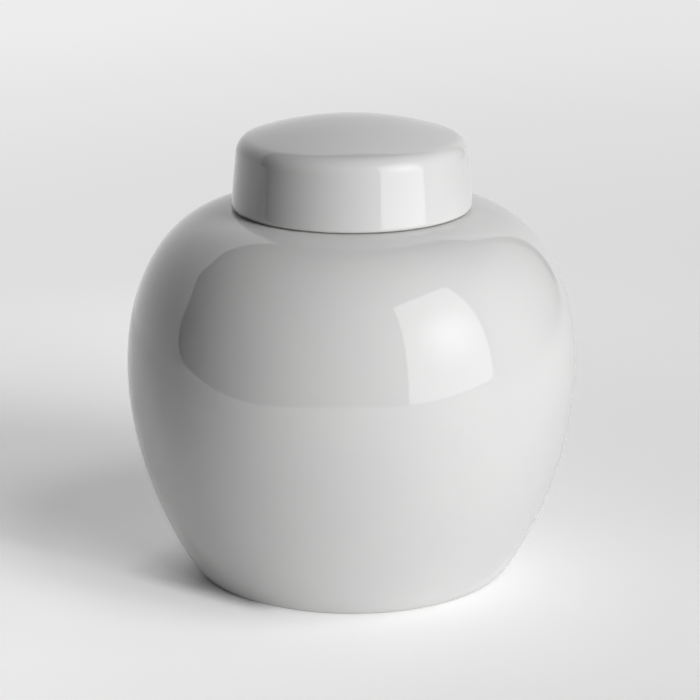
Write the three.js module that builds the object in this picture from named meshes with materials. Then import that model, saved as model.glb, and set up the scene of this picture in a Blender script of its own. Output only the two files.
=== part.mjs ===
// Lidded jar in white glazed porcelain: a full round body on a low foot ring,
// and a cap lid that drops over a short neck and rests on the shoulder.
// Millimetres, +Z up, origin at the centre of the foot ring on the table.

import * as THREE from 'three';

// Body, outside
const bellyRadius = 100;
const bellyHeight = 91.8;
const bellyPullDown = 45.5;
const bellyPullUp = 38.9;
const footRadius = 71.4;
const footLean = THREE.MathUtils.degToRad(45);
const footPull = 8;
const shoulderSlope = THREE.MathUtils.degToRad(5);
const shoulderPull = 28.5;
const seatHeight = 163.5;
const seatMargin = 1;

// Foot ring and base
const footEdgeRadius = 1.5;
const footRingWidth = 7;
const recessDepth = 3.5;
const recessCove = 7;
const baseThickness = 6.5;
const floorCove = 12;

// Walls of the body and neck
const bodyWall = 5;
const neckWall = 4.4;
const neckRootRadius = 2;
const neckCove = 6;

// Lid, measured from its rim
const rimRadius = 53.1;
const skirtHeight = 29.5;
const skirtTopRadius = 50.2;
const crownRise = 9;
const crownEdgeRadius = 8;
const lidWall = 5;
const ceilingEdgeRadius = 3;
const rimOuterEdge = 1.5;
const rimInnerEdge = 1;

// Fits between lid and body
const seatGap = 0.3;
const neckClearance = 1.5;
const neckHeadroom = 5;

// Facets
const turnSegments = 64;
const wallSteps = 12;
const liningSteps = 9;
const crownSteps = 7;
const roundSteps = 3;

// What the sizes above fix
const skirtTaper = Math.atan2(rimRadius - skirtTopRadius, skirtHeight);
const crownRadius = (skirtTopRadius ** 2 + crownRise ** 2) / (2 * crownRise);
const crownCentre = skirtHeight + crownRise - crownRadius;
const seatRadius = rimRadius + seatMargin;
const floorHeight = recessDepth + baseThickness;
const neckHeight = skirtHeight - lidWall - neckHeadroom;
const neckRadius = skirtRadiusAt(neckHeight, lidWall) - neckClearance;
const mouthRadius = neckRadius - neckWall;

const point = (radius, height) => new THREE.Vector2(radius, height);

// Points of a circular arc about (radius, height), either way round.
function arc(radius, height, size, from, to, steps = roundSteps) {
  return new THREE.EllipseCurve(radius, height, size, size, from, to, to < from).getPoints(steps);
}

// Points of a curve moved sideways, to the left of the way it runs.
function offset(curve, distance, steps) {
  return Array.from({ length: steps + 1 }, (_, step) => {
    const along = curve.getTangent(step / steps);
    return curve.getPoint(step / steps).add(point(-along.y, along.x).multiplyScalar(distance));
  });
}

// Turns a closed outline of (radius, height) points into a solid standing on +Z.
function turn(outline) {
  return new THREE.LatheGeometry(outline, turnSegments).rotateX(Math.PI / 2);
}

// Radius of the lid's tapered skirt at a height above its rim, inset from the outside.
function skirtRadiusAt(height, inset) {
  return rimRadius - height * Math.tan(skirtTaper) - inset / Math.cos(skirtTaper);
}

function porcelain() {
  return new THREE.MeshStandardMaterial({ color: 0xdcdcdb, roughness: 0.1, metalness: 0 });
}

// Outer wall below and above the widest ring of the belly.
const foot = point(footRadius, footEdgeRadius * (1 - Math.cos(footLean)));
const belly = point(bellyRadius, bellyHeight);
const seat = point(seatRadius, seatHeight);
const lowerWall = new THREE.CubicBezierCurve(
  foot,
  point(foot.x + footPull * Math.cos(footLean), foot.y + footPull * Math.sin(footLean)),
  point(bellyRadius, bellyHeight - bellyPullDown),
  belly,
);
const upperWall = new THREE.CubicBezierCurve(
  belly,
  point(bellyRadius, bellyHeight + bellyPullUp),
  point(seat.x + shoulderPull * Math.cos(shoulderSlope), seat.y - shoulderPull * Math.sin(shoulderSlope)),
  seat,
);

// Underside: a recessed base inside a flat ring, with a rounded outer edge.
function footOutline() {
  const edgeCentre = foot.x - footEdgeRadius * Math.sin(footLean);
  const ringInside = edgeCentre - footRingWidth;
  const cove = new THREE.QuadraticBezierCurve(
    point(ringInside - recessCove, recessDepth),
    point(ringInside, recessDepth),
    point(ringInside, 0),
  );
  return [
    point(0, recessDepth),
    ...cove.getPoints(roundSteps),
    ...arc(edgeCentre, footEdgeRadius, footEdgeRadius, -Math.PI / 2, footLean - Math.PI / 2),
  ];
}

// Flat seat, rounded root, upright neck and a lip rounded over its whole wall.
function neckOutline() {
  const lipRadius = neckWall / 2;
  const lipHeight = seatHeight + neckHeight - lipRadius;
  return [
    ...arc(neckRadius + neckRootRadius, seatHeight + neckRootRadius, neckRootRadius, -Math.PI / 2, -Math.PI),
    ...arc(neckRadius - lipRadius, lipHeight, lipRadius, 0, Math.PI, 2 * roundSteps),
  ];
}

// Inside: round the root of the neck, down the wall and round to a flat floor.
function liningOutline() {
  const upper = offset(upperWall, bodyWall, liningSteps).reverse();
  const lower = offset(lowerWall, bodyWall, liningSteps).reverse();
  const wall = [...upper, ...lower.slice(1)].filter(({ y }) => y > floorHeight + floorCove);
  const neckRound = new THREE.QuadraticBezierCurve(
    point(mouthRadius, wall[0].y + neckCove),
    point(mouthRadius, wall[0].y),
    wall[0],
  );
  const last = wall.at(-1);
  const lean = last.clone().sub(wall.at(-2)).normalize();
  const corner = last.clone().addScaledVector(lean, (last.y - floorHeight) / -lean.y);
  const floorRound = new THREE.QuadraticBezierCurve(
    last,
    corner,
    point(corner.x - corner.distanceTo(last), floorHeight),
  );
  return [
    ...neckRound.getPoints(roundSteps),
    ...wall.slice(1, -1),
    ...floorRound.getPoints(roundSteps),
    point(0, floorHeight),
  ];
}

function jarBody() {
  const outline = [
    ...footOutline(),
    ...lowerWall.getPoints(wallSteps).slice(1),
    ...upperWall.getPoints(wallSteps).slice(1),
    ...neckOutline(),
    ...liningOutline(),
  ];
  const mesh = new THREE.Mesh(turn(outline), porcelain());
  mesh.name = 'jar_body';
  return mesh;
}

// One skin of the lid from its skirt to the top of its crown, inset from the outside.
function capOutline(inset, edgeRadius, steps) {
  const start = point(skirtRadiusAt(0, inset + edgeRadius), 0);
  const up = point(-Math.sin(skirtTaper), Math.cos(skirtTaper));
  const fromCentre = point(start.x, -crownCentre);
  const reach = crownRadius - inset - edgeRadius;
  const along = fromCentre.dot(up);
  const rise = Math.sqrt(along ** 2 - fromCentre.lengthSq() + reach ** 2) - along;
  const edge = start.addScaledVector(up, rise);
  const crownFrom = Math.atan2(edge.y - crownCentre, edge.x);
  return [
    ...arc(edge.x, edge.y, edgeRadius, skirtTaper, crownFrom),
    ...arc(0, crownCentre, crownRadius - inset, crownFrom, Math.PI / 2, steps).slice(1, -1),
    point(0, crownCentre + crownRadius - inset),
  ];
}

// Flat rim with both edges rounded, from the inside of the skirt to the outside.
function rimOutline() {
  const innerEdge = skirtRadiusAt(rimInnerEdge, lidWall) + rimInnerEdge / Math.cos(skirtTaper);
  const outerEdge = skirtRadiusAt(rimOuterEdge, rimOuterEdge);
  return [
    ...arc(innerEdge, rimInnerEdge, rimInnerEdge, Math.PI + skirtTaper, 1.5 * Math.PI),
    ...arc(outerEdge, rimOuterEdge, rimOuterEdge, -Math.PI / 2, skirtTaper),
  ];
}

function lid() {
  const outline = [
    ...capOutline(lidWall, ceilingEdgeRadius, crownSteps).reverse(),
    ...rimOutline(),
    ...capOutline(0, crownEdgeRadius, crownSteps),
  ];
  const mesh = new THREE.Mesh(turn(outline), porcelain());
  mesh.name = 'lid';
  mesh.position.z = seatHeight + seatGap;
  return mesh;
}

const jar = new THREE.Group();
jar.add(jarBody(), lid());

export default jar;
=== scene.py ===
"""Looks of a white porcelain lidded jar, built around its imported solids. Metres, +Z up, table at z = 0."""
import math

import bpy
import numpy as np
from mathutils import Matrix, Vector


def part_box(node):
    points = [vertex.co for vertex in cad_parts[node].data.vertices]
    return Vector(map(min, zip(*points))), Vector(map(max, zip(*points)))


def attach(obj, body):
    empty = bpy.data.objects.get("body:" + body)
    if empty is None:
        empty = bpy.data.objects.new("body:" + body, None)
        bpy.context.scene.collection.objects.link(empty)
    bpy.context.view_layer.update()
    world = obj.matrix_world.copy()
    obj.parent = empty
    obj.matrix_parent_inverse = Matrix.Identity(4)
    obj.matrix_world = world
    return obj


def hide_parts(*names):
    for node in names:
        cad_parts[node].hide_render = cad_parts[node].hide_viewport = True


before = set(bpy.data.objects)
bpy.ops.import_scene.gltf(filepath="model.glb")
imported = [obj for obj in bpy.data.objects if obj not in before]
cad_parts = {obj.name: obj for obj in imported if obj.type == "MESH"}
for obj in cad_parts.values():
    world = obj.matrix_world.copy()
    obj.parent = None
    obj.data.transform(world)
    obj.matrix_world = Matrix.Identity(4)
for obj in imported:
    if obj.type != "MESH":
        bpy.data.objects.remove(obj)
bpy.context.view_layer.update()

MM = 0.001
_, JAR_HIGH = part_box("jar_body")
LID_LOW, LID_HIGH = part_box("lid")

# Body, outside
BELLY_RADIUS = JAR_HIGH.x
BELLY_HEIGHT = 91.8 * MM
BELLY_PULL_DOWN = 45.5 * MM
BELLY_PULL_UP = 38.9 * MM
FOOT_RADIUS = 71.4 * MM
FOOT_LEAN = math.radians(45)
FOOT_PULL = 8 * MM
SHOULDER_SLOPE = math.radians(5)
SHOULDER_PULL = 28.5 * MM
SEAT_GAP = 0.3 * MM
SEAT_HEIGHT = LID_LOW.z - SEAT_GAP
SEAT_MARGIN = 1 * MM

# Foot ring, base, walls and neck of the body
FOOT_EDGE_RADIUS = 1.5 * MM
FOOT_RING_WIDTH = 7 * MM
RECESS_DEPTH = 3.5 * MM
RECESS_COVE = 7 * MM
BASE_THICKNESS = 6.5 * MM
FLOOR_COVE = 12 * MM
BODY_WALL = 5 * MM
NECK_TOP = JAR_HIGH.z
NECK_WALL = 4.4 * MM
NECK_ROOT_RADIUS = 2 * MM
NECK_COVE = 6 * MM
NECK_CLEARANCE = 1.5 * MM

# Lid, measured from its rim
RIM_RADIUS = 53.1 * MM
SKIRT_HEIGHT = 29.5 * MM
SKIRT_TOP_RADIUS = 50.2 * MM
CROWN_RISE = LID_HIGH.z - LID_LOW.z - SKIRT_HEIGHT
CROWN_EDGE_RADIUS = 8 * MM
LID_WALL = 5 * MM
CEILING_EDGE_RADIUS = 3 * MM
RIM_OUTER_EDGE = 1.5 * MM
RIM_INNER_EDGE = 1 * MM

# What the sizes above fix
SKIRT_TAPER = math.atan2(RIM_RADIUS - SKIRT_TOP_RADIUS, SKIRT_HEIGHT)
CROWN_RADIUS = (SKIRT_TOP_RADIUS**2 + CROWN_RISE**2) / (2 * CROWN_RISE)
CROWN_CENTRE = SKIRT_HEIGHT + CROWN_RISE - CROWN_RADIUS
SEAT_RADIUS = RIM_RADIUS + SEAT_MARGIN
SEAT_BARE_RADIUS = RIM_RADIUS - 2 * RIM_OUTER_EDGE
FLOOR_HEIGHT = RECESS_DEPTH + BASE_THICKNESS

# Mesh detail
SEGMENTS = 240
WALL_STEPS = 64
CROWN_STEPS = 32
ROUND_STEPS = 10
SKIRT_IN_POINTS = 8
SKIRT_OUT_POINTS = 24
SAME_PLACE = 1e-7

# Material slots of each piece
GLAZED, BARE = 0, 1

# Glaze: colours, features per metre, depths and shine
GLAZE_TONE = (0.72, 0.72, 0.715, 1)
GLAZE_CLOUD = (0.70, 0.703, 0.70, 1)
CLOUD_SCALE = 22
CLOUD_SPAN = (0.35, 0.65)
GLAZE_THIN = (0.70, 0.69, 0.67, 1)
THIN_EDGE_RADIUS = 1.5 * MM
THIN_SPAN = (0.2, 1)
THIN_SHARE = 0.6
SPECK_TONE = (0.40, 0.37, 0.32, 1)
SPECK_SCALE = 70
SPECK_RADIUS = 0.25 * MM
SPECK_CORE = 0.6
SPECK_DRAWS = (0.7, 0.73)
WAVE_SCALE = 28
WAVE_DEPTH = 0.06 * MM
PEEL_SCALE = 650
PEEL_DEPTH = 0.001 * MM
GLOSS_SCALE = 60
GLAZE_ROUGHNESS = (0.02, 0.04)
GLAZE_IOR = 1.58

# Bare porcelain: colours, features per metre, depth and roughness
BARE_TONE = (0.70, 0.685, 0.66, 1)
BARE_DARK = (0.61, 0.595, 0.57, 1)
GRAIN_SCALE = 2200
GRAIN_DEPTH = 0.03 * MM
BARE_ROUGHNESS = (0.75, 0.9)
WEAR_SCALE = 120
WEAR_SPAN = (0.55, 0.75)
WEAR_SHARE = 0.35

# Middle of a noise's range, where nearly all of it lies
NOISE_SPAN = (0.3, 0.7)

# Camera, worked out from the photograph's outline of the jar
CAMERA_PLACE = Vector((-0.0008, -1.0399, 0.4110))
CAMERA_PITCH = math.radians(16.79)
CAMERA_LENS = 125.1
CAMERA_SENSOR = 36.0

# Directions on the stage, and the middle of the table under the jar
RIGHT = Vector((1, 0, 0))
BACK = Vector((0, 1, 0))
UP = Vector((0, 0, 1))
MIDDLE = Vector((0, 0, 0))

# Stage, traced from what the jar mirrors; azimuths run from the viewer's side, to the right
SOFTBOX_AZIMUTH = 50.5
SOFTBOX_REACH = 1.7
SOFTBOX_ACROSS = (-0.73, 0.68)
SOFTBOX_LOW = -0.13
SOFTBOX_TOPS = (1.96, 2.19)
HOTSPOT_ACROSS = 0.05
HOTSPOT_HEIGHT = 0.78
HOTSPOT_SPREAD = 0.7
BACKDROP_START = Vector((-1.4, 0.30, 0))
BACKDROP_WAY = Vector((0.979, 0.203, 0))
BACKDROP_FOOT = [(-0.87, 0), (2.1, 0)]
BACKDROP_EDGE = [(1.92, 0.06), (1.92, 0.70), (-0.06, 0.70), (-0.20, 0.58), (-0.24, 0.36), (-0.46, 0.14)]
BACKDROP_STRIP = [(-0.06, 0.70), (1.92, 0.70), (1.90, 0.87), (0.50, 0.88), (0.34, 0.77)]
SIDE_REACH = 1.8
SIDE_AZIMUTHS = (75, 142)
SIDE_HEIGHTS = (-0.3, 1.4)
TABLE_FRONT_LEFT = [(-4.5, 0.35), (-1.5, -0.08), (-0.7, -0.34), (-0.46, -0.5), (-0.25, -0.77), (0, -0.86)]
TABLE_FRONT_RIGHT = [(0.3, -0.76), (0.9, -0.6), (4.5, 0.1)]
TABLE_BACK = 4.0
LAMP_REACH = 4.5
LAMP_SIZE = 1.5

# Levels of the panels, where 1 is white, and lamps as (azimuth, elevation, watts)
SOFTBOX_LEVEL = 1.9
HOTSPOT_LEVEL = 3.8
BACKDROP_LEVELS = (0.5, 0.75, 0.88, 0.65)
STRIP_LEVEL = 0.8
SIDE_LEVELS = (0.1, 0.25)
LAMPS = ((41, 8, 154.0), (53, 35, 42.0), (64, 56, 35.0))

# Table: its paint, the light it throws back near and far, and its lift, a painted glow seen by the camera
# and in mirrors, in front of the jar and behind
TABLE_TONE = 0.87
BOUNCE_TONES = (0.76, 0.25)
BOUNCE_REACH = (0.22, 0.5)
TABLE_LIFTS = (0.28, 0.19)
LIFT_SPAN = (-0.12, 0.06)
SLANT_SPAN = (-0.13, 0.12)
BOUNCE_SHARES = (1.3, 0.64)
LIFT_SHARES = (1.35, 0.92)

# Painted shadow of the jar: a band on the table where the lift is taken away, deepest beside its foot
SHADE_AZIMUTH = 56
SHADE_FRONT = (-0.081, -0.071)
SHADE_BACK = (0.05, 0.12)
SHADE_START = (-0.012, 0.004)
SHADE_END = (0.035, 0.078)
SHADE_DEPTHS = (1, 0.2)

# Fade of the table into a pale backdrop with painted shading: darker near the jar than far off, and shares
# of its level from one x of the table to another, a slight tilt and darker far to the left and right
FADE_REACH = (0.28, 0.55)
FAR_REACH = 1.7
PALE_NEAR = 0.72
PALE = 0.825
PALE_SHARES = (((-0.3, 0.3), (1.03, 0.97)), ((-1.9, -1.1), (0.4, 1)), ((0.5, 1.2), (1, 0.4)))


def skirt_radius(height, inset):
    """Radius of the lid's tapered skirt at a height above its rim, inset from the outside."""
    return RIM_RADIUS - height * math.tan(SKIRT_TAPER) - inset / math.cos(SKIRT_TAPER)


NECK_RADIUS = skirt_radius(NECK_TOP - SEAT_HEIGHT, LID_WALL) - NECK_CLEARANCE
MOUTH_RADIUS = NECK_RADIUS - NECK_WALL


def bezier(points, steps):
    """Points of a Bezier curve of any degree, and its directions there."""
    points = np.array(points, float)
    t = np.linspace(0, 1, steps + 1)[:, None]

    def curve(controls):
        degree = len(controls) - 1
        weights = [math.comb(degree, i) * t**i * (1 - t) ** (degree - i) for i in range(degree + 1)]
        return sum(weight * control for weight, control in zip(weights, controls))

    return curve(points), curve(np.diff(points, axis=0) * (len(points) - 1))


def offset(curve, directions, distance):
    """Points of a curve moved sideways, to the left of the way it runs."""
    along = directions / np.linalg.norm(directions, axis=1, keepdims=True)
    return curve + distance * np.column_stack([-along[:, 1], along[:, 0]])


def arc(radius, height, size, start, end, steps=ROUND_STEPS):
    """Points of a circular arc about (radius, height)."""
    angles = np.linspace(start, end, steps + 1)
    return np.column_stack([radius + size * np.cos(angles), height + size * np.sin(angles)])


def joined(stretches):
    """One outline from stretches of (points, material slot), with the slot of each step between points."""
    outline, slots = [], []
    for points, slot in stretches:
        for point in points:
            if outline and np.hypot(*(np.array(point) - outline[-1])) < SAME_PLACE:
                continue
            if outline:
                slots.append(slot)
            outline.append(np.array(point, float))
    return np.array(outline), slots


def body_walls():
    """Outer wall below and above the belly, each with its points and its directions there."""
    foot = (FOOT_RADIUS, FOOT_EDGE_RADIUS * (1 - math.cos(FOOT_LEAN)))
    belly = (BELLY_RADIUS, BELLY_HEIGHT)
    seat = (SEAT_RADIUS, SEAT_HEIGHT)
    foot_pull = (foot[0] + FOOT_PULL * math.cos(FOOT_LEAN), foot[1] + FOOT_PULL * math.sin(FOOT_LEAN))
    seat_pull = (
        seat[0] + SHOULDER_PULL * math.cos(SHOULDER_SLOPE),
        seat[1] - SHOULDER_PULL * math.sin(SHOULDER_SLOPE),
    )
    lower = [foot, foot_pull, (BELLY_RADIUS, BELLY_HEIGHT - BELLY_PULL_DOWN), belly]
    upper = [belly, (BELLY_RADIUS, BELLY_HEIGHT + BELLY_PULL_UP), seat_pull, seat]
    return bezier(lower, WALL_STEPS), bezier(upper, WALL_STEPS)


def foot_stretches():
    """Glazed recess under the base, and the bare foot ring with its rounded edge."""
    edge_centre = FOOT_RADIUS - FOOT_EDGE_RADIUS * math.sin(FOOT_LEAN)
    ring_inside = edge_centre - FOOT_RING_WIDTH
    recess = [(0, RECESS_DEPTH), (0.5 * ring_inside, RECESS_DEPTH)]
    corner = (ring_inside, RECESS_DEPTH)
    cove, _ = bezier([(ring_inside - RECESS_COVE, RECESS_DEPTH), corner, (ring_inside, 0)], ROUND_STEPS)
    edge = arc(edge_centre, FOOT_EDGE_RADIUS, FOOT_EDGE_RADIUS, -math.pi / 2, FOOT_LEAN - math.pi / 2)
    return [(recess, GLAZED), (cove, GLAZED), (edge, BARE)]


def neck_stretches():
    """Bare inner seat and root of the neck, and a lip that is bare on top."""
    root_radius = NECK_RADIUS + NECK_ROOT_RADIUS
    root = arc(root_radius, SEAT_HEIGHT + NECK_ROOT_RADIUS, NECK_ROOT_RADIUS, -math.pi / 2, -math.pi)
    lip_size = NECK_WALL / 2
    lip = arc(NECK_RADIUS - lip_size, NECK_TOP - lip_size, lip_size, 0, math.pi, 2 * ROUND_STEPS)
    side = ROUND_STEPS // 2
    return [(root, BARE), (lip[:side], GLAZED), (lip[side:-side], BARE), (lip[-side:], GLAZED)]


def lining(lower, upper):
    """Inside of the body: round the root of the neck, down the wall and round to a flat floor."""
    wall = np.vstack([offset(*upper, BODY_WALL)[::-1], offset(*lower, BODY_WALL)[::-1][1:]])
    wall = wall[wall[:, 1] > FLOOR_HEIGHT + FLOOR_COVE]
    first, last = wall[0], wall[-1]
    neck_corner = (MOUTH_RADIUS, first[1])
    neck_round, _ = bezier([(MOUTH_RADIUS, first[1] + NECK_COVE), neck_corner, first], ROUND_STEPS)
    lean = (last - wall[-2]) / np.linalg.norm(last - wall[-2])
    corner = last + lean * (FLOOR_HEIGHT - last[1]) / lean[1]
    floor_edge = (corner[0] - np.linalg.norm(corner - last), FLOOR_HEIGHT)
    floor_round, _ = bezier([last, corner, floor_edge], 2 * ROUND_STEPS)
    floor = [(0.5 * corner[0], FLOOR_HEIGHT), (0, FLOOR_HEIGHT)]
    return np.vstack([neck_round, wall[1:-1], floor_round, floor])


def body_outline():
    """The body from the middle of its base, up the outside, over the lip and down to its floor."""
    lower, upper = body_walls()
    return joined([
        *foot_stretches(),
        (lower[0], GLAZED),
        (upper[0], GLAZED),
        ([(SEAT_BARE_RADIUS, SEAT_HEIGHT)], GLAZED),
        *neck_stretches(),
        (lining(lower, upper), GLAZED),
    ])


def cap_skin(inset, edge_radius):
    """One skin of the lid from its skirt to the top of its crown, inset from the outside."""
    start = np.array([skirt_radius(0, inset + edge_radius), 0])
    up = np.array([-math.sin(SKIRT_TAPER), math.cos(SKIRT_TAPER)])
    from_centre = start - (0, CROWN_CENTRE)
    reach = CROWN_RADIUS - inset - edge_radius
    along = from_centre @ up
    edge = start + up * (math.sqrt(along**2 - from_centre @ from_centre + reach**2) - along)
    crown_from = math.atan2(edge[1] - CROWN_CENTRE, edge[0])
    crown = arc(0, CROWN_CENTRE, CROWN_RADIUS - inset, crown_from, math.pi / 2, CROWN_STEPS)
    crown[-1, 0] = 0
    return np.vstack([arc(*edge, edge_radius, SKIRT_TAPER, crown_from), crown])


def lid_outline():
    """The lid from the middle of its ceiling, down the inside, round a bare rim and up to its crown."""
    inner_edge = skirt_radius(RIM_INNER_EDGE, LID_WALL) + RIM_INNER_EDGE / math.cos(SKIRT_TAPER)
    outer_edge = skirt_radius(RIM_OUTER_EDGE, RIM_OUTER_EDGE)
    inner_rim = arc(inner_edge, RIM_INNER_EDGE, RIM_INNER_EDGE, math.pi + SKIRT_TAPER, 1.5 * math.pi)
    outer_rim = arc(outer_edge, RIM_OUTER_EDGE, RIM_OUTER_EDGE, -math.pi / 2, SKIRT_TAPER)
    ceiling = cap_skin(LID_WALL, CEILING_EDGE_RADIUS)[::-1]
    outside = cap_skin(0, CROWN_EDGE_RADIUS)
    outline, slots = joined([
        (ceiling, GLAZED),
        (np.linspace(ceiling[-1], inner_rim[0], SKIRT_IN_POINTS), GLAZED),
        (inner_rim, GLAZED),
        (outer_rim[:2], BARE),
        (outer_rim, GLAZED),
        (np.linspace(outer_rim[-1], outside[0], SKIRT_OUT_POINTS), GLAZED),
        (outside, GLAZED),
    ])
    return outline + (0, LID_LOW.z), slots


def thin_edges(outline):
    """How thin the glaze runs at each point of an outline: 0 on even walls, 1 on tight outward edges."""
    steps = np.diff(outline, axis=0)
    lengths = np.hypot(*steps.T)
    headings = np.unwrap(np.arctan2(steps[:, 1], steps[:, 0]))
    bends = 2 * np.diff(headings) / (lengths[1:] + lengths[:-1])
    return np.pad(np.clip(bends * THIN_EDGE_RADIUS, 0, 1), 1)


def turned_points(outline):
    """An outline's points at each turn about +Z, and last its two ends, which lie on the axis."""
    angles = np.linspace(0, 2 * math.pi, SEGMENTS, endpoint=False)
    radius, height = outline[1:-1].T
    points = np.column_stack([
        np.outer(np.sin(angles), radius).ravel(),
        -np.outer(np.cos(angles), radius).ravel(),
        np.tile(height, SEGMENTS),
    ])
    return np.vstack([points, (0, 0, outline[0, 1]), (0, 0, outline[-1, 1])])


def turned_faces(rings):
    """Faces between the turns, each turn from the outline's first end to its last."""
    start, end = SEGMENTS * rings, SEGMENTS * rings + 1
    faces = []
    for turn in range(SEGMENTS):
        here, there = turn * rings, (turn + 1) % SEGMENTS * rings
        faces.append((start, there, here))
        for ring in range(rings - 1):
            faces.append((here + ring, there + ring, there + ring + 1, here + ring + 1))
        faces.append((here + rings - 1, there + rings - 1, end))
    return faces


def placed(name, data):
    """A new object in the scene."""
    item = bpy.data.objects.new(name, data)
    bpy.context.scene.collection.objects.link(item)
    return item


def turned(name, outline, slots, materials):
    """A smooth piece turned about +Z from an outline, with a material slot for each step of it."""
    faces = turned_faces(len(outline) - 2)
    mesh = bpy.data.meshes.new(name)
    mesh.from_pydata(turned_points(outline).tolist(), [], faces)
    for material in materials:
        mesh.materials.append(material)
    mesh.polygons.foreach_set("material_index", slots * SEGMENTS)
    mesh.polygons.foreach_set("use_smooth", [True] * len(faces))
    edges = thin_edges(outline)
    thin = mesh.attributes.new("thin_glaze", "FLOAT", "POINT")
    thin.data.foreach_set("value", np.append(np.tile(edges[1:-1], SEGMENTS), [edges[0], edges[-1]]))
    mesh.update()
    return placed(name, mesh)


def new_material(name):
    """A material without nodes, and its node tree."""
    material = bpy.data.materials.new(name)
    material.use_nodes = True
    material.node_tree.nodes.clear()
    return material, material.node_tree


def shown(tree, shader):
    """Makes a shader the material's surface."""
    output = tree.nodes.new("ShaderNodeOutputMaterial")
    tree.links.new(shader, output.inputs["Surface"])


def noise(tree, scale, detail=2):
    """Noise that rides on the piece, with features about 1 / scale metres wide."""
    place = tree.nodes.new("ShaderNodeTexCoord")
    texture = tree.nodes.new("ShaderNodeTexNoise")
    texture.inputs["Scale"].default_value = scale
    texture.inputs["Detail"].default_value = detail
    tree.links.new(place.outputs["Object"], texture.inputs["Vector"])
    return texture.outputs["Fac"]


def remap(tree, value, from_low, from_high, to_low=0, to_high=1, curve="LINEAR"):
    """A value's range moved onto another, and held at its ends."""
    ranged = tree.nodes.new("ShaderNodeMapRange")
    ranged.interpolation_type = curve
    ranged.inputs["From Min"].default_value = from_low
    ranged.inputs["From Max"].default_value = from_high
    ranged.inputs["To Min"].default_value = to_low
    ranged.inputs["To Max"].default_value = to_high
    tree.links.new(value, ranged.inputs["Value"])
    return ranged.outputs["Result"]


def combined(tree, operation, a, b):
    """Two values put together."""
    node = tree.nodes.new("ShaderNodeMath")
    node.operation = operation
    tree.links.new(a, node.inputs[0])
    tree.links.new(b, node.inputs[1])
    return node.outputs["Value"]


def product(tree, a, b):
    """Two values multiplied."""
    return combined(tree, "MULTIPLY", a, b)


def blend(tree, share, colour, other):
    """A colour, or a socket that gives one, mixed with a share of another colour."""
    mix = tree.nodes.new("ShaderNodeMix")
    mix.data_type = "RGBA"
    if isinstance(colour, tuple):
        mix.inputs["A"].default_value = colour
    else:
        tree.links.new(colour, mix.inputs["A"])
    mix.inputs["B"].default_value = other
    tree.links.new(share, mix.inputs["Factor"])
    return mix.outputs["Result"]


def bump(tree, height, depth, below=None):
    """Normals of a relief of a given depth, on top of another relief."""
    relief = tree.nodes.new("ShaderNodeBump")
    relief.inputs["Distance"].default_value = depth
    tree.links.new(height, relief.inputs["Height"])
    if below:
        tree.links.new(below, relief.inputs["Normal"])
    return relief.outputs["Normal"]


def specks(tree):
    """Small round specks in those cells of the glaze that draw a high number."""
    place = tree.nodes.new("ShaderNodeTexCoord")
    cells = tree.nodes.new("ShaderNodeTexVoronoi")
    cells.inputs["Scale"].default_value = SPECK_SCALE
    tree.links.new(place.outputs["Object"], cells.inputs["Vector"])
    edge = SPECK_RADIUS * SPECK_SCALE
    spot = remap(tree, cells.outputs["Distance"], SPECK_CORE * edge, edge, 1, 0)
    return product(tree, spot, remap(tree, cells.outputs["Color"], *SPECK_DRAWS))


def thin_glaze(tree):
    """How thin the glaze runs, as worked out with the mesh."""
    edges = tree.nodes.new("ShaderNodeAttribute")
    edges.attribute_name = "thin_glaze"
    return edges.outputs["Fac"]


def principled(tree, colour, roughness, normal):
    """The material's surface, from sockets; returns its shader."""
    shader = tree.nodes.new("ShaderNodeBsdfPrincipled")
    tree.links.new(colour, shader.inputs["Base Color"])
    tree.links.new(roughness, shader.inputs["Roughness"])
    tree.links.new(normal, shader.inputs["Normal"])
    shown(tree, shader.outputs["BSDF"])
    return shader


def glaze_material(name):
    """Clear gloss glaze on white porcelain: faint clouds, thin edges, rare specks and an uneven skin."""
    material, tree = new_material(name)
    clouds = remap(tree, noise(tree, CLOUD_SCALE, detail=3), *CLOUD_SPAN)
    colour = blend(tree, clouds, GLAZE_TONE, GLAZE_CLOUD)
    colour = blend(tree, remap(tree, thin_glaze(tree), *THIN_SPAN, 0, THIN_SHARE), colour, GLAZE_THIN)
    colour = blend(tree, specks(tree), colour, SPECK_TONE)
    roughness = remap(tree, noise(tree, GLOSS_SCALE), *NOISE_SPAN, *GLAZE_ROUGHNESS)
    waves = bump(tree, noise(tree, WAVE_SCALE), WAVE_DEPTH)
    skin = bump(tree, noise(tree, PEEL_SCALE, detail=1), PEEL_DEPTH, waves)
    shader = principled(tree, colour, roughness, skin)
    shader.inputs["IOR"].default_value = GLAZE_IOR
    return material


def bare_material(name):
    """Unglazed porcelain: matt, a little warmer, with a fine sandy grain and traces of wear."""
    material, tree = new_material(name)
    grain = noise(tree, GRAIN_SCALE, detail=3)
    wear = remap(tree, noise(tree, WEAR_SCALE, detail=4), *WEAR_SPAN, 0, WEAR_SHARE)
    colour = blend(tree, remap(tree, grain, *NOISE_SPAN), BARE_TONE, BARE_DARK)
    colour = blend(tree, wear, colour, SPECK_TONE)
    roughness = remap(tree, grain, *NOISE_SPAN, *BARE_ROUGHNESS)
    principled(tree, colour, roughness, bump(tree, grain, GRAIN_DEPTH))
    return material


def direction(azimuth):
    """Level direction at an azimuth in degrees, from the viewer's side, to the right when positive."""
    return Vector((math.sin(math.radians(azimuth)), -math.cos(math.radians(azimuth)), 0))


def raised(foot, height):
    """The point at a height above another."""
    return foot + height * UP


def flat(name, corners, material):
    """A new object with one flat face."""
    mesh = bpy.data.meshes.new(name)
    mesh.from_pydata([tuple(corner) for corner in corners], [], [tuple(range(len(corners)))])
    mesh.materials.append(material)
    return placed(name, mesh)


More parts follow.
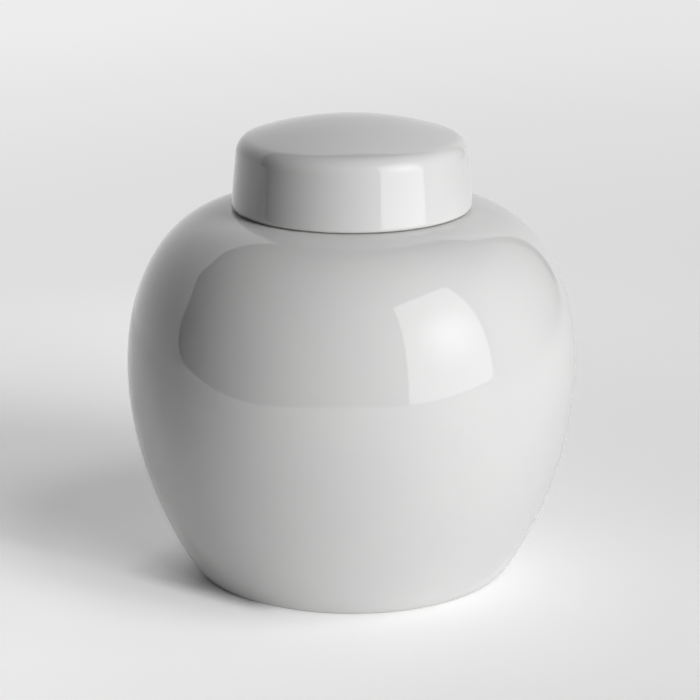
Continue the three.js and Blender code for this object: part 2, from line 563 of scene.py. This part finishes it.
def panel(name, corners, lights_up=True):
    """A flat glowing panel that the camera itself doesn't see; returns its nodes and its emission."""
    material, tree = new_material(name)
    glow = tree.nodes.new("ShaderNodeEmission")
    shown(tree, glow.outputs["Emission"])
    board = flat(name, corners, material)
    board.visible_camera = False
    board.visible_shadow = False
    board.visible_diffuse = lights_up
    return tree, glow


def measured(tree, operation, other):
    """A measure of the shaded place against another vector."""
    place = tree.nodes.new("ShaderNodeNewGeometry")
    measure = tree.nodes.new("ShaderNodeVectorMath")
    measure.operation = operation
    measure.inputs[1].default_value = other
    tree.links.new(place.outputs["Position"], measure.inputs[0])
    return measure.outputs["Value"]


def distance_from(tree, point):
    """Distance of the shaded place from a point."""
    return measured(tree, "DISTANCE", point)


def distance_along(tree, way):
    """Distance of the shaded place from the middle of the table, along a direction."""
    return measured(tree, "DOT_PRODUCT", way)


def graded(tree, glow, start, end, levels):
    """Evenly spaced levels that glow from one point of a panel to another."""
    way = (end - start).normalized()
    share = remap(tree, distance_along(tree, way), start.dot(way), end.dot(way))
    ramp = tree.nodes.new("ShaderNodeValToRGB")
    stops = ramp.color_ramp.elements
    while len(stops) < len(levels):
        stops.new(0.5)
    for number, level in enumerate(levels):
        stops[number].position = number / (len(levels) - 1)
        stops[number].color = (level, level, level, 1)
    tree.links.new(share, ramp.inputs["Fac"])
    tree.links.new(ramp.outputs["Color"], glow.inputs["Color"])


def build_softbox():
    """Large softbox on the right, brightest round its lamp, that only shows in the glaze."""
    across = direction(SOFTBOX_AZIMUTH + 90)
    middle = direction(SOFTBOX_AZIMUTH) * SOFTBOX_REACH
    left, right = (middle + side * across for side in SOFTBOX_ACROSS)
    corners = [raised(left, SOFTBOX_LOW), raised(right, SOFTBOX_LOW)]
    corners += [raised(right, SOFTBOX_TOPS[1]), raised(left, SOFTBOX_TOPS[0])]
    tree, glow = panel("softbox", corners, lights_up=False)
    lamp = raised(middle + HOTSPOT_ACROSS * across, HOTSPOT_HEIGHT)
    from_lamp = distance_from(tree, lamp)
    level = remap(tree, from_lamp, 0, HOTSPOT_SPREAD, HOTSPOT_LEVEL, SOFTBOX_LEVEL, "SMOOTHSTEP")
    tree.links.new(level, glow.inputs["Strength"])


def build_backdrop():
    """White card behind the jar, with a strip along its top, and the room to the right of it."""
    def on_card(outline):
        return [raised(BACKDROP_START + along * BACKDROP_WAY, height) for along, height in outline]

    tree, glow = panel("backdrop", on_card(BACKDROP_FOOT + BACKDROP_EDGE))
    graded(tree, glow, *on_card(BACKDROP_FOOT), BACKDROP_LEVELS)
    tree, glow = panel("backdrop_strip", on_card(BACKDROP_STRIP))
    glow.inputs["Strength"].default_value = STRIP_LEVEL
    near, far = (direction(azimuth) * SIDE_REACH for azimuth in SIDE_AZIMUTHS)
    low, high = SIDE_HEIGHTS
    tree, glow = panel("side", [raised(near, low), raised(far, low), raised(far, high), raised(near, high)])
    graded(tree, glow, near, far, SIDE_LEVELS)


def build_lamps():
    """Lamps behind the softbox, which light the jar and the table but aren't mirrored again."""
    for azimuth, elevation, power in LAMPS:
        data = bpy.data.lights.new("lamp", "AREA")
        data.shape = "DISK"
        data.size = LAMP_SIZE
        data.energy = power
        rise = math.radians(elevation)
        way = direction(azimuth) * math.cos(rise) + math.sin(rise) * UP
        lamp = placed("lamp", data)
        lamp.location = raised(LAMP_REACH * way, BELLY_HEIGHT)
        lamp.rotation_euler = way.to_track_quat("Z", "Y").to_euler()
        lamp.visible_glossy = False


def emission(tree, strength):
    """White light of a given strength."""
    glow = tree.nodes.new("ShaderNodeEmission")
    tree.links.new(strength, glow.inputs["Strength"])
    return glow.outputs["Emission"]


def shaded(tree):
    """Share of the table's lift left in a painted shadow of the jar: a band fixed on the table, on the side
    away from the softbox.
    """
    across = distance_along(tree, direction(SHADE_AZIMUTH + 90))
    inside = product(tree, remap(tree, across, *SHADE_FRONT), remap(tree, across, *SHADE_BACK, 1, 0))
    behind = distance_along(tree, -direction(SHADE_AZIMUTH))
    depth = remap(tree, behind, *SHADE_END, *SHADE_DEPTHS)
    depth = product(tree, depth, remap(tree, behind, *SHADE_START))
    return remap(tree, product(tree, inside, depth), 0, 1, 1, 0)


def table_paint(tree, is_bounce, away):
    """White paint, darker for the light that it throws back from the right and from farther off."""
    tone = tree.nodes.new("ShaderNodeMix")
    tone.inputs["A"].default_value = TABLE_TONE
    bounce = remap(tree, distance_along(tree, RIGHT), *SLANT_SPAN, *BOUNCE_SHARES)
    bounce = product(tree, bounce, remap(tree, away, *BOUNCE_REACH, *BOUNCE_TONES))
    tree.links.new(bounce, tone.inputs["B"])
    tree.links.new(is_bounce, tone.inputs["Factor"])
    paint = tree.nodes.new("ShaderNodeBsdfDiffuse")
    tree.links.new(tone.outputs["Result"], paint.inputs["Color"])
    return paint.outputs["BSDF"]


def table_lift(tree, is_seen):
    """Light that lifts the table where it is seen, more at the left and in front of the jar."""
    lift = remap(tree, distance_along(tree, RIGHT), *SLANT_SPAN, *LIFT_SHARES)
    lift = product(tree, lift, remap(tree, distance_along(tree, BACK), *LIFT_SPAN, *TABLE_LIFTS))
    # Painted shadow of the jar, taken out of the lift
    lift = product(tree, lift, shaded(tree))
    return emission(tree, product(tree, lift, is_seen))


def table_far(tree, away):
    """The pale backdrop that the table fades into, with its level painted darker near the jar and far to
    either side.
    """
    pale = remap(tree, away, FADE_REACH[1], FAR_REACH, PALE_NEAR, PALE, "SMOOTHSTEP")
    for span, shares in PALE_SHARES:
        pale = product(tree, pale, remap(tree, distance_along(tree, RIGHT), *span, *shares))
    return emission(tree, pale)


def table_material(name):
    """Lifted white paint near the jar, and the pale backdrop away from it for the camera and in mirrors."""
    material, tree = new_material(name)
    path = tree.nodes.new("ShaderNodeLightPath")
    is_seen = combined(tree, "MAXIMUM", path.outputs["Is Camera Ray"], path.outputs["Is Glossy Ray"])
    away = distance_from(tree, MIDDLE)
    near = tree.nodes.new("ShaderNodeAddShader")
    tree.links.new(table_paint(tree, path.outputs["Is Diffuse Ray"], away), near.inputs[0])
    tree.links.new(table_lift(tree, is_seen), near.inputs[1])
    fade = tree.nodes.new("ShaderNodeMixShader")
    share = remap(tree, away, *FADE_REACH, curve="SMOOTHSTEP")
    tree.links.new(product(tree, share, is_seen), fade.inputs["Fac"])
    tree.links.new(near.outputs["Shader"], fade.inputs[1])
    tree.links.new(table_far(tree, away), fade.inputs[2])
    shown(tree, fade.outputs["Shader"])
    return material


def build_table():
    """White table, with the front edge that the jar mirrors."""
    back = [(TABLE_FRONT_RIGHT[-1][0], TABLE_BACK), (TABLE_FRONT_LEFT[0][0], TABLE_BACK)]
    corners = [(x, y, 0) for x, y in TABLE_FRONT_LEFT + TABLE_FRONT_RIGHT + back]
    table = flat("table", corners, table_material("table_white"))


def build_world():
    """A dark room, and the plain pale backdrop where the camera looks past the table."""
    world = bpy.data.worlds.new("studio")
    bpy.context.scene.world = world
    world.use_nodes = True
    tree = world.node_tree
    tree.nodes.clear()
    path = tree.nodes.new("ShaderNodeLightPath")
    room = tree.nodes.new("ShaderNodeBackground")
    output = tree.nodes.new("ShaderNodeOutputWorld")
    tree.links.new(remap(tree, path.outputs["Is Camera Ray"], 0, 1, 0, PALE), room.inputs["Strength"])
    tree.links.new(room.outputs["Background"], output.inputs["Surface"])


def build_camera():
    """The photograph's camera, with no turn to either side."""
    data = bpy.data.cameras.new("camera")
    data.lens = CAMERA_LENS
    data.sensor_width = CAMERA_SENSOR
    camera = placed("camera", data)
    camera.location = CAMERA_PLACE
    camera.rotation_euler = (math.pi / 2 - CAMERA_PITCH, 0, 0)
    bpy.context.scene.camera = camera


glaze = glaze_material("white_glaze")
bare = bare_material("bare_porcelain")
jar_piece = turned("jar_porcelain", *body_outline(), [glaze, bare])
lid_piece = turned("lid_porcelain", *lid_outline(), [glaze, bare])
for piece, node, body, slot in (
    (jar_piece, "jar_body", "jar", "body_glaze"),
    (lid_piece, "lid", "lid", "lid_glaze"),
):
    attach(piece, body)
    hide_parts(node)

build_camera()
build_table()
build_softbox()
build_backdrop()
build_lamps()
build_world()
bpy.context.scene.view_settings.view_transform = "Standard"
